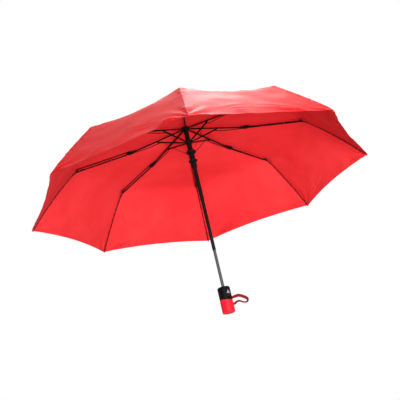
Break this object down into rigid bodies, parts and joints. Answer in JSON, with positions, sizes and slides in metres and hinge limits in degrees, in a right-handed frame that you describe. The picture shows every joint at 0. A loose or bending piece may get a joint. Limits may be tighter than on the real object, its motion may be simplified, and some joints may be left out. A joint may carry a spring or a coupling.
{
  "type": "folding umbrella",
  "caption": "Compact automatic umbrella with a red cloth canopy on folding ribs, a telescoping shaft, a push-button handle and a wrist strap.",
  "frame": {"origin": "centre of the flat underside of the handle, on the shaft's axis", "axes": "+Z along the shaft, from the handle to the ferrule; +X towards the wrist strap; the push button faces mostly -Y"},
  "size_m": [0.9786, 0.9786, 0.5786],
  "materials": {
    "black_plastic": "moulded black nylon, satin",
    "black_tube": "black painted steel tube",
    "grey_tube": "dark grey plated steel tube",
    "black_rib": "black painted steel ribs and wires",
    "spring_steel": "drawn spring wire",
    "cloth": "plain woven red umbrella cloth",
    "grip_rubber": "soft red coating",
    "strap": "dark red woven ribbon"
  },
  "bodies": {
    "handle": {"handle_shell": "black_plastic", "grip": "grip_rubber", "bottom_tube": "grey_tube", "shaft_spring": "spring_steel", "wrist_strap": "strap"},
    "button": {"push_button": "black_plastic"},
    "middle_shaft": {"middle_tube": "black_tube"},
    "upper_shaft": {"top_tube": "black_tube", "crown": "black_plastic", "cap": "black_plastic", "canopy": "cloth"},
    "runner": {"runner": "black_plastic"},
    "top_rib_1": {"top_rib_1": "black_rib"},
    "stretcher_1": {"stretcher_1": "black_rib"},
    "link_rod_1": {"link_rod_1": "black_rib"},
    "mid_rib_1": {"mid_rib_1": "black_rib"},
    "control_wire_1": {"control_wire_1": "black_rib"},
    "outer_rib_1": {"outer_rib_1": "black_rib"},
    "top_rib_2": {"top_rib_2": "black_rib"},
    "stretcher_2": {"stretcher_2": "black_rib"},
    "link_rod_2": {"link_rod_2": "black_rib"},
    "mid_rib_2": {"mid_rib_2": "black_rib"},
    "control_wire_2": {"control_wire_2": "black_rib"},
    "outer_rib_2": {"outer_rib_2": "black_rib"},
    "top_rib_3": {"top_rib_3": "black_rib"},
    "stretcher_3": {"stretcher_3": "black_rib"},
    "link_rod_3": {"link_rod_3": "black_rib"},
    "mid_rib_3": {"mid_rib_3": "black_rib"},
    "control_wire_3": {"control_wire_3": "black_rib"},
    "outer_rib_3": {"outer_rib_3": "black_rib"},
    "top_rib_4": {"top_rib_4": "black_rib"},
    "stretcher_4": {"stretcher_4": "black_rib"},
    "link_rod_4": {"link_rod_4": "black_rib"},
    "mid_rib_4": {"mid_rib_4": "black_rib"},
    "control_wire_4": {"control_wire_4": "black_rib"},
    "outer_rib_4": {"outer_rib_4": "black_rib"},
    "top_rib_5": {"top_rib_5": "black_rib"},
    "stretcher_5": {"stretcher_5": "black_rib"},
    "link_rod_5": {"link_rod_5": "black_rib"},
    "mid_rib_5": {"mid_rib_5": "black_rib"},
    "control_wire_5": {"control_wire_5": "black_rib"},
    "outer_rib_5": {"outer_rib_5": "black_rib"},
    "top_rib_6": {"top_rib_6": "black_rib"},
    "stretcher_6": {"stretcher_6": "black_rib"},
    "link_rod_6": {"link_rod_6": "black_rib"},
    "mid_rib_6": {"mid_rib_6": "black_rib"},
    "control_wire_6": {"control_wire_6": "black_rib"},
    "outer_rib_6": {"outer_rib_6": "black_rib"},
    "top_rib_7": {"top_rib_7": "black_rib"},
    "stretcher_7": {"stretcher_7": "black_rib"},
    "link_rod_7": {"link_rod_7": "black_rib"},
    "mid_rib_7": {"mid_rib_7": "black_rib"},
    "control_wire_7": {"control_wire_7": "black_rib"},
    "outer_rib_7": {"outer_rib_7": "black_rib"},
    "top_rib_8": {"top_rib_8": "black_rib"},
    "stretcher_8": {"stretcher_8": "black_rib"},
    "link_rod_8": {"link_rod_8": "black_rib"},
    "mid_rib_8": {"mid_rib_8": "black_rib"},
    "control_wire_8": {"control_wire_8": "black_rib"},
    "outer_rib_8": {"outer_rib_8": "black_rib"}
  },
  "joints": [
    {"name": "button_press", "type": "slide", "parent": "handle", "child": "button", "axis": [-0.5592, 0.829, 0], "range_m": [0, 0.002], "stiffness_N_per_m": 900, "springref_m": -0.002},
    {"name": "shaft_upper", "type": "slide", "parent": "middle_shaft", "child": "upper_shaft", "axis": [0, 0, -1], "range_m": [0, 0.1495], "deforming": ["shaft_spring"]},
    {"name": "shaft_lower", "type": "slide", "parent": "handle", "child": "middle_shaft", "axis": [0, 0, -1], "range_m": [0, 0.1061]},
    {"name": "fold", "type": "hinge", "parent": "upper_shaft", "child": "top_rib_1", "pos_m": [-0.009, -0.0002, 0.556], "axis": [0.0227, -0.9997, 0], "range_deg": [0, 75.11], "deforming": ["canopy"]},
    {"name": "stretcher_1_turn", "type": "hinge", "parent": "top_rib_1", "child": "stretcher_1", "pos_m": [-0.08798, -0.002, 0.535], "axis": [0.0227, -0.9997, 0], "range_deg": [-150.27, 0]},
    {"name": "link_rod_1_turn", "type": "hinge", "parent": "stretcher_1", "child": "link_rod_1", "pos_m": [-0.07928, -0.0018, 0.53269], "axis": [0.0227, -0.9997, 0], "range_deg": [0, 150.56]},
    {"name": "mid_rib_1_turn", "type": "hinge", "parent": "top_rib_1", "child": "mid_rib_1", "pos_m": [-0.17995, -0.00408, 0.5205], "axis": [0.0227, -0.9997, 0], "range_deg": [-173.4, 0]},
    {"name": "control_wire_1_turn", "type": "hinge", "parent": "top_rib_1", "child": "control_wire_1", "pos_m": [-0.17376, -0.00394, 0.52376], "axis": [0.0227, -0.9997, 0], "range_deg": [-173.13, 0]},
    {"name": "outer_rib_1_turn", "type": "hinge", "parent": "mid_rib_1", "child": "outer_rib_1", "pos_m": [-0.33791, -0.00767, 0.499], "axis": [0.0227, -0.9997, 0], "range_deg": [0, 139.99]},
    {"name": "top_rib_2_turn", "type": "hinge", "parent": "upper_shaft", "child": "top_rib_2", "pos_m": [-0.00651, 0.00622, 0.556], "axis": [-0.6909, -0.723, 0], "range_deg": [0, 75.16]},
    {"name": "stretcher_2_turn", "type": "hinge", "parent": "top_rib_2", "child": "stretcher_2", "pos_m": [-0.06362, 0.0608, 0.535], "axis": [-0.6909, -0.723, 0], "range_deg": [-150.27, 0]},
    {"name": "link_rod_2_turn", "type": "hinge", "parent": "stretcher_2", "child": "link_rod_2", "pos_m": [-0.05733, 0.05479, 0.53269], "axis": [-0.6909, -0.723, 0], "range_deg": [0, 150.56]},
    {"name": "mid_rib_2_turn", "type": "hinge", "parent": "top_rib_2", "child": "mid_rib_2", "pos_m": [-0.13013, 0.12436, 0.5205], "axis": [-0.6909, -0.723, 0], "range_deg": [-173.4, 0]},
    {"name": "control_wire_2_turn", "type": "hinge", "parent": "top_rib_2", "child": "control_wire_2", "pos_m": [-0.12566, 0.12008, 0.52376], "axis": [-0.6909, -0.723, 0], "range_deg": [-173.13, 0]},
    {"name": "outer_rib_2_turn", "type": "hinge", "parent": "mid_rib_2", "child": "outer_rib_2", "pos_m": [-0.24436, 0.23352, 0.499], "axis": [-0.6909, -0.723, 0], "range_deg": [0, 139.99]},
    {"name": "top_rib_3_turn", "type": "hinge", "parent": "upper_shaft", "child": "top_rib_3", "pos_m": [-0.0002, 0.009, 0.556], "axis": [-0.9997, -0.0227, 0], "range_deg": [0, 75.16]},
    {"name": "stretcher_3_turn", "type": "hinge", "parent": "top_rib_3", "child": "stretcher_3", "pos_m": [-0.002, 0.08798, 0.535], "axis": [-0.9997, -0.0227, 0], "range_deg": [-150.27, 0]},
    {"name": "link_rod_3_turn", "type": "hinge", "parent": "stretcher_3", "child": "link_rod_3", "pos_m": [-0.0018, 0.07928, 0.53269], "axis": [-0.9997, -0.0227, 0], "range_deg": [0, 150.56]},
    {"name": "mid_rib_3_turn", "type": "hinge", "parent": "top_rib_3", "child": "mid_rib_3", "pos_m": [-0.00408, 0.17995, 0.5205], "axis": [-0.9997, -0.0227, 0], "range_deg": [-173.4, 0]},
    {"name": "control_wire_3_turn", "type": "hinge", "parent": "top_rib_3", "child": "control_wire_3", "pos_m": [-0.00394, 0.17376, 0.52376], "axis": [-0.9997, -0.0227, 0], "range_deg": [-173.13, 0]},
    {"name": "outer_rib_3_turn", "type": "hinge", "parent": "mid_rib_3", "child": "outer_rib_3", "pos_m": [-0.00767, 0.33791, 0.499], "axis": [-0.9997, -0.0227, 0], "range_deg": [0, 139.99]},
    {"name": "top_rib_4_turn", "type": "hinge", "parent": "upper_shaft", "child": "top_rib_4", "pos_m": [0.00622, 0.00651, 0.556], "axis": [-0.723, 0.6909, 0], "range_deg": [0, 75.16]},
    {"name": "stretcher_4_turn", "type": "hinge", "parent": "top_rib_4", "child": "stretcher_4", "pos_m": [0.0608, 0.06362, 0.535], "axis": [-0.723, 0.6909, 0], "range_deg": [-150.27, 0]},
    {"name": "link_rod_4_turn", "type": "hinge", "parent": "stretcher_4", "child": "link_rod_4", "pos_m": [0.05479, 0.05733, 0.53269], "axis": [-0.723, 0.6909, 0], "range_deg": [0, 150.56]},
    {"name": "mid_rib_4_turn", "type": "hinge", "parent": "top_rib_4", "child": "mid_rib_4", "pos_m": [0.12436, 0.13013, 0.5205], "axis": [-0.723, 0.6909, 0], "range_deg": [-173.4, 0]},
    {"name": "control_wire_4_turn", "type": "hinge", "parent": "top_rib_4", "child": "control_wire_4", "pos_m": [0.12008, 0.12566, 0.52376], "axis": [-0.723, 0.6909, 0], "range_deg": [-173.13, 0]},
    {"name": "outer_rib_4_turn", "type": "hinge", "parent": "mid_rib_4", "child": "outer_rib_4", "pos_m": [0.23352, 0.24436, 0.499], "axis": [-0.723, 0.6909, 0], "range_deg": [0, 139.99]},
    {"name": "top_rib_5_turn", "type": "hinge", "parent": "upper_shaft", "child": "top_rib_5", "pos_m": [0.009, 0.0002, 0.556], "axis": [-0.0227, 0.9997, 0], "range_deg": [0, 75.16]},
    {"name": "stretcher_5_turn", "type": "hinge", "parent": "top_rib_5", "child": "stretcher_5", "pos_m": [0.08798, 0.002, 0.535], "axis": [-0.0227, 0.9997, 0], "range_deg": [-150.27, 0]},
    {"name": "link_rod_5_turn", "type": "hinge", "parent": "stretcher_5", "child": "link_rod_5", "pos_m": [0.07928, 0.0018, 0.53269], "axis": [-0.0227, 0.9997, 0], "range_deg": [0, 150.56]},
    {"name": "mid_rib_5_turn", "type": "hinge", "parent": "top_rib_5", "child": "mid_rib_5", "pos_m": [0.17995, 0.00408, 0.5205], "axis": [-0.0227, 0.9997, 0], "range_deg": [-173.4, 0]},
    {"name": "control_wire_5_turn", "type": "hinge", "parent": "top_rib_5", "child": "control_wire_5", "pos_m": [0.17376, 0.00394, 0.52376], "axis": [-0.0227, 0.9997, 0], "range_deg": [-173.13, 0]},
    {"name": "outer_rib_5_turn", "type": "hinge", "parent": "mid_rib_5", "child": "outer_rib_5", "pos_m": [0.33791, 0.00767, 0.499], "axis": [-0.0227, 0.9997, 0], "range_deg": [0, 139.99]},
    {"name": "top_rib_6_turn", "type": "hinge", "parent": "upper_shaft", "child": "top_rib_6", "pos_m": [0.00651, -0.00622, 0.556], "axis": [0.6909, 0.723, 0], "range_deg": [0, 75.16]},
    {"name": "stretcher_6_turn", "type": "hinge", "parent": "top_rib_6", "child": "stretcher_6", "pos_m": [0.06362, -0.0608, 0.535], "axis": [0.6909, 0.723, 0], "range_deg": [-150.27, 0]},
    {"name": "link_rod_6_turn", "type": "hinge", "parent": "stretcher_6", "child": "link_rod_6", "pos_m": [0.05733, -0.05479, 0.53269], "axis": [0.6909, 0.723, 0], "range_deg": [0, 150.56]},
    {"name": "mid_rib_6_turn", "type": "hinge", "parent": "top_rib_6", "child": "mid_rib_6", "pos_m": [0.13013, -0.12436, 0.5205], "axis": [0.6909, 0.723, 0], "range_deg": [-173.4, 0]},
    {"name": "control_wire_6_turn", "type": "hinge", "parent": "top_rib_6", "child": "control_wire_6", "pos_m": [0.12566, -0.12008, 0.52376], "axis": [0.6909, 0.723, 0], "range_deg": [-173.13, 0]},
    {"name": "outer_rib_6_turn", "type": "hinge", "parent": "mid_rib_6", "child": "outer_rib_6", "pos_m": [0.24436, -0.23352, 0.499], "axis": [0.6909, 0.723, 0], "range_deg": [0, 139.99]},
    {"name": "top_rib_7_turn", "type": "hinge", "parent": "upper_shaft", "child": "top_rib_7", "pos_m": [0.0002, -0.009, 0.556], "axis": [0.9997, 0.0227, 0], "range_deg": [0, 75.16]},
    {"name": "stretcher_7_turn", "type": "hinge", "parent": "top_rib_7", "child": "stretcher_7", "pos_m": [0.002, -0.08798, 0.535], "axis": [0.9997, 0.0227, 0], "range_deg": [-150.27, 0]},
    {"name": "link_rod_7_turn", "type": "hinge", "parent": "stretcher_7", "child": "link_rod_7", "pos_m": [0.0018, -0.07928, 0.53269], "axis": [0.9997, 0.0227, 0], "range_deg": [0, 150.56]},
    {"name": "mid_rib_7_turn", "type": "hinge", "parent": "top_rib_7", "child": "mid_rib_7", "pos_m": [0.00408, -0.17995, 0.5205], "axis": [0.9997, 0.0227, 0], "range_deg": [-173.4, 0]},
    {"name": "control_wire_7_turn", "type": "hinge", "parent": "top_rib_7", "child": "control_wire_7", "pos_m": [0.00394, -0.17376, 0.52376], "axis": [0.9997, 0.0227, 0], "range_deg": [-173.13, 0]},
    {"name": "outer_rib_7_turn", "type": "hinge", "parent": "mid_rib_7", "child": "outer_rib_7", "pos_m": [0.00767, -0.33791, 0.499], "axis": [0.9997, 0.0227, 0], "range_deg": [0, 139.99]},
    {"name": "top_rib_8_turn", "type": "hinge", "parent": "upper_shaft", "child": "top_rib_8", "pos_m": [-0.00622, -0.00651, 0.556], "axis": [0.723, -0.6909, 0], "range_deg": [0, 75.16]},
    {"name": "stretcher_8_turn", "type": "hinge", "parent": "top_rib_8", "child": "stretcher_8", "pos_m": [-0.0608, -0.06362, 0.535], "axis": [0.723, -0.6909, 0], "range_deg": [-150.27, 0]},
    {"name": "link_rod_8_turn", "type": "hinge", "parent": "stretcher_8", "child": "link_rod_8", "pos_m": [-0.05479, -0.05733, 0.53269], "axis": [0.723, -0.6909, 0], "range_deg": [0, 150.56]},
    {"name": "mid_rib_8_turn", "type": "hinge", "parent": "top_rib_8", "child": "mid_rib_8", "pos_m": [-0.12436, -0.13013, 0.5205], "axis": [0.723, -0.6909, 0], "range_deg": [-173.4, 0]},
    {"name": "control_wire_8_turn", "type": "hinge", "parent": "top_rib_8", "child": "control_wire_8", "pos_m": [-0.12008, -0.12566, 0.52376], "axis": [0.723, -0.6909, 0], "range_deg": [-173.13, 0]},
    {"name": "outer_rib_8_turn", "type": "hinge", "parent": "mid_rib_8", "child": "outer_rib_8", "pos_m": [-0.23352, -0.24436, 0.499], "axis": [0.723, -0.6909, 0], "range_deg": [0, 139.99]},
    {"name": "runner_level", "type": "hinge", "parent": "stretcher_1", "child": "runner", "pos_m": [-0.009, -0.0002, 0.514], "axis": [0.0227, -0.9997, 0], "range_deg": [0, 75.16]}
  ],
  "couplings": [
    {"joint": "shaft_lower", "follows": "shaft_upper", "ratio": 0.70903},
    {"joint": "stretcher_1_turn", "follows": "fold", "ratio": -2},
    {"joint": "link_rod_1_turn", "follows": "fold", "ratio": 2.0038},
    {"joint": "mid_rib_1_turn", "follows": "fold", "ratio": -2.308},
    {"joint": "control_wire_1_turn", "follows": "fold", "ratio": -2.3043},
    {"joint": "outer_rib_1_turn", "follows": "fold", "ratio": 1.8631},
    {"joint": "top_rib_2_turn", "follows": "fold", "ratio": 1},
    {"joint": "stretcher_2_turn", "follows": "fold", "ratio": -2},
    {"joint": "link_rod_2_turn", "follows": "fold", "ratio": 2.0038},
    {"joint": "mid_rib_2_turn", "follows": "fold", "ratio": -2.308},
    {"joint": "control_wire_2_turn", "follows": "fold", "ratio": -2.3043},
    {"joint": "outer_rib_2_turn", "follows": "fold", "ratio": 1.8631},
    {"joint": "top_rib_3_turn", "follows": "fold", "ratio": 1},
    {"joint": "stretcher_3_turn", "follows": "fold", "ratio": -2},
    {"joint": "link_rod_3_turn", "follows": "fold", "ratio": 2.0038},
    {"joint": "mid_rib_3_turn", "follows": "fold", "ratio": -2.308},
    {"joint": "control_wire_3_turn", "follows": "fold", "ratio": -2.3043},
    {"joint": "outer_rib_3_turn", "follows": "fold", "ratio": 1.8631},
    {"joint": "top_rib_4_turn", "follows": "fold", "ratio": 1},
    {"joint": "stretcher_4_turn", "follows": "fold", "ratio": -2},
    {"joint": "link_rod_4_turn", "follows": "fold", "ratio": 2.0038},
    {"joint": "mid_rib_4_turn", "follows": "fold", "ratio": -2.308},
    {"joint": "control_wire_4_turn", "follows": "fold", "ratio": -2.3043},
    {"joint": "outer_rib_4_turn", "follows": "fold", "ratio": 1.8631},
    {"joint": "top_rib_5_turn", "follows": "fold", "ratio": 1},
    {"joint": "stretcher_5_turn", "follows": "fold", "ratio": -2},
    {"joint": "link_rod_5_turn", "follows": "fold", "ratio": 2.0038},
    {"joint": "mid_rib_5_turn", "follows": "fold", "ratio": -2.308},
    {"joint": "control_wire_5_turn", "follows": "fold", "ratio": -2.3043},
    {"joint": "outer_rib_5_turn", "follows": "fold", "ratio": 1.8631},
    {"joint": "top_rib_6_turn", "follows": "fold", "ratio": 1},
    {"joint": "stretcher_6_turn", "follows": "fold", "ratio": -2},
    {"joint": "link_rod_6_turn", "follows": "fold", "ratio": 2.0038},
    {"joint": "mid_rib_6_turn", "follows": "fold", "ratio": -2.308},
    {"joint": "control_wire_6_turn", "follows": "fold", "ratio": -2.3043},
    {"joint": "outer_rib_6_turn", "follows": "fold", "ratio": 1.8631},
    {"joint": "top_rib_7_turn", "follows": "fold", "ratio": 1},
    {"joint": "stretcher_7_turn", "follows": "fold", "ratio": -2},
    {"joint": "link_rod_7_turn", "follows": "fold", "ratio": 2.0038},
    {"joint": "mid_rib_7_turn", "follows": "fold", "ratio": -2.308},
    {"joint": "control_wire_7_turn", "follows": "fold", "ratio": -2.3043},
    {"joint": "outer_rib_7_turn", "follows": "fold", "ratio": 1.8631},
    {"joint": "top_rib_8_turn", "follows": "fold", "ratio": 1},
    {"joint": "stretcher_8_turn", "follows": "fold", "ratio": -2},
    {"joint": "link_rod_8_turn", "follows": "fold", "ratio": 2.0038},
    {"joint": "mid_rib_8_turn", "follows": "fold", "ratio": -2.308},
    {"joint": "control_wire_8_turn", "follows": "fold", "ratio": -2.3043},
    {"joint": "outer_rib_8_turn", "follows": "fold", "ratio": 1.8631},
    {"joint": "runner_level", "follows": "fold", "ratio": 1}
  ]
}
